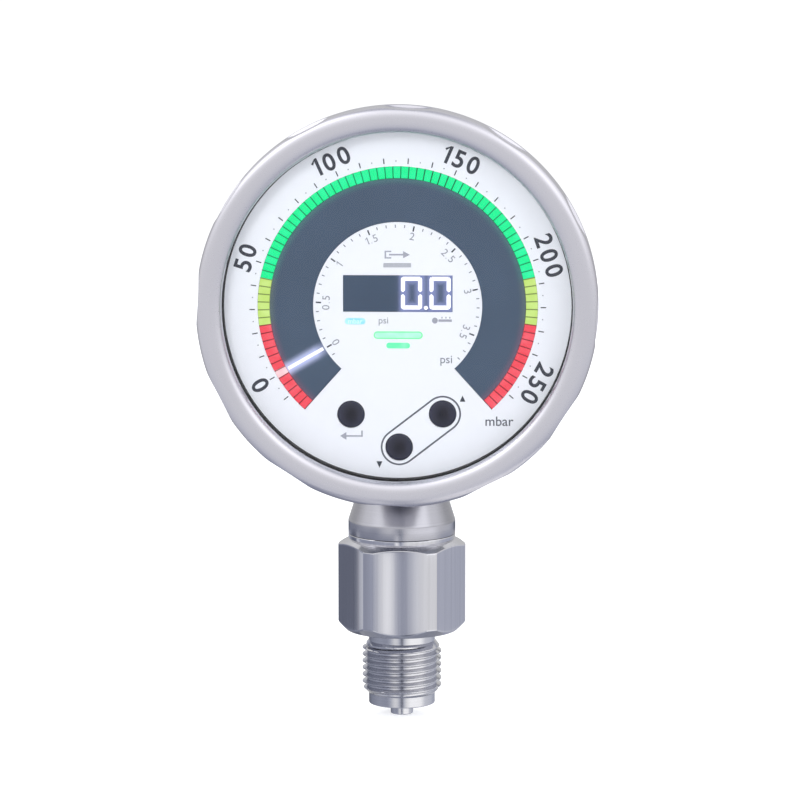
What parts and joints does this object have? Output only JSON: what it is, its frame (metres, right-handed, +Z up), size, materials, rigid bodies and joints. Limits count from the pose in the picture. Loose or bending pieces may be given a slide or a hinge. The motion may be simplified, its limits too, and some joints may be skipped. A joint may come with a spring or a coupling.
{
  "type": "pressure sensor",
  "caption": "Round electronic pressure gauge with a lit segment scale, digit display and touch keys, swivelling on a threaded hexagon stem, with a round plug at the back.",
  "frame": {"origin": "on the stem axis, half way along the process thread", "axes": "+Z up along the stem, -Y out of the dial towards the reader, +X to the reader's right"},
  "size_m": [0.1022, 0.0714, 0.1636],
  "materials": {
    "turned_steel": "turned stainless steel, satin",
    "drawn_steel": "deep-drawn stainless steel, fine brushed",
    "satin_steel": "stainless steel, bead blasted satin",
    "spring_steel": "spring steel, bright",
    "plated_brass": "nickel-plated brass",
    "gold_contacts": "gold-plated contacts",
    "seal_rubber": "black moulded rubber",
    "cell_ceramic": "ground ceramic",
    "circuit_board": "solder-masked board",
    "black_plastic": "moulded plastic, matt",
    "white_dial": "white screen-printed dial",
    "light_guide": "translucent moulded light guide",
    "smoked_plastic": "smoked plastic",
    "key_plastic": "glossy black plastic",
    "slip_plastic": "low-friction plastic",
    "front_glass": "polished clear glass"
  },
  "bodies": {
    "connection": {"process_connection": "turned_steel", "cell_seal": "seal_rubber", "measuring_cell": "cell_ceramic", "cell_board": "circuit_board", "swivel_shaft": "turned_steel", "swivel_seal": "seal_rubber", "stop_pin": "turned_steel", "retaining_ring": "spring_steel"},
    "head": {"neck_sleeve": "turned_steel", "housing_can": "drawn_steel", "housing_ring": "turned_steel", "glass_gasket": "seal_rubber", "led_board": "circuit_board", "dial_carrier": "black_plastic", "dial_plate": "white_dial", "segment_ring": "light_guide", "pointer_field": "smoked_plastic", "pointer_bar": "light_guide", "digit_module": "black_plastic", "display_window": "smoked_plastic", "status_lens": "light_guide", "output_lens": "light_guide", "key_left": "key_plastic", "key_right": "key_plastic", "key_lower": "key_plastic", "main_board": "circuit_board", "board_posts": "turned_steel", "board_spacers": "plated_brass", "board_screws": "spring_steel", "plug_sleeve": "turned_steel", "plug_seal": "seal_rubber", "plug_nut": "plated_brass", "plug_insert": "black_plastic", "contact_pins": "gold_contacts", "vent_cap": "black_plastic"},
    "window": {"glass": "front_glass", "slip_ring": "slip_plastic"},
    "bezel": {"bezel_ring": "satin_steel"}
  },
  "joints": [
    {"name": "head_swivel", "type": "hinge", "parent": "connection", "child": "head", "pos_m": [0, 0, 0.04], "axis": [0, 0, 1], "range_deg": [-172.5, 172.5]},
    {"name": "window_lift", "type": "slide", "parent": "head", "child": "window", "axis": [0, -1, 0], "range_m": [0, 0.006]},
    {"name": "bezel_turn", "type": "hinge", "parent": "window", "child": "bezel", "pos_m": [0, -0.03, 0.0996], "axis": [0, -1, 0], "range_deg": [0, 1080]}
  ],
  "couplings": [
    {"joint": "window_lift", "follows": "bezel_turn", "m_per_rad": 0.0003183}
  ]
}
